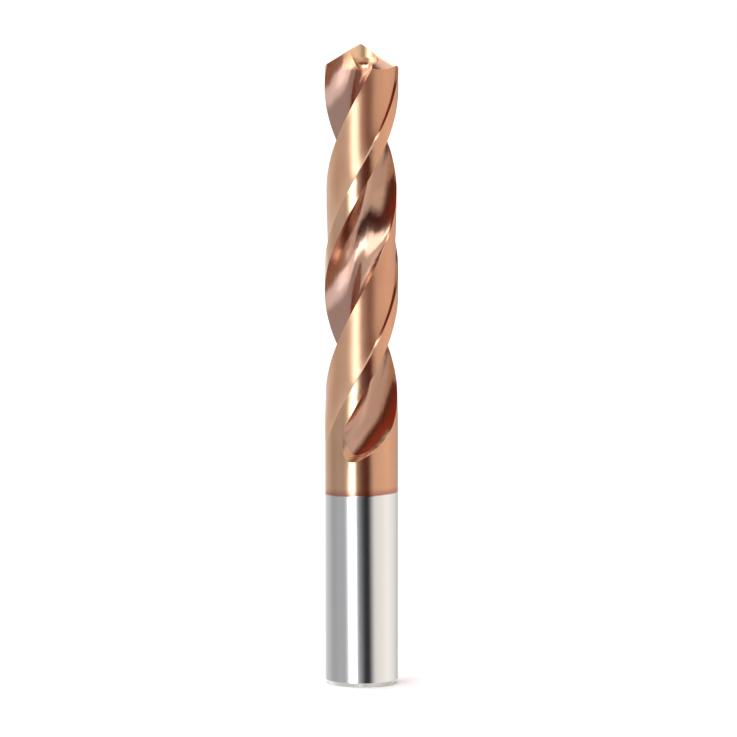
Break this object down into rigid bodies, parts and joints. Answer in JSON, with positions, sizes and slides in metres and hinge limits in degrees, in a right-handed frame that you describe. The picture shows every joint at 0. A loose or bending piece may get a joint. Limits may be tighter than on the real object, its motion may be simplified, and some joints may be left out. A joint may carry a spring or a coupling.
{
  "type": "twist drill bit",
  "caption": "Solid carbide twist drill with a straight shank, right hand helical flutes, a ground 118 degree point with web thinning and a copper coloured coating on the fluted part.",
  "frame": {"origin": "centre of the flat end of the shank, which the drill stands on", "axes": "+Z along the drill's axis from the shank to the point; +Y is away from the side the picture shows, so the two outer corners of the lips lie near +X and -X"},
  "size_m": [0.0102, 0.0102, 0.089],
  "materials": {
    "drill_bit": "polished"
  },
  "bodies": {
    "root": {"drill_bit": "drill_bit"}
  },
  "joints": []
}
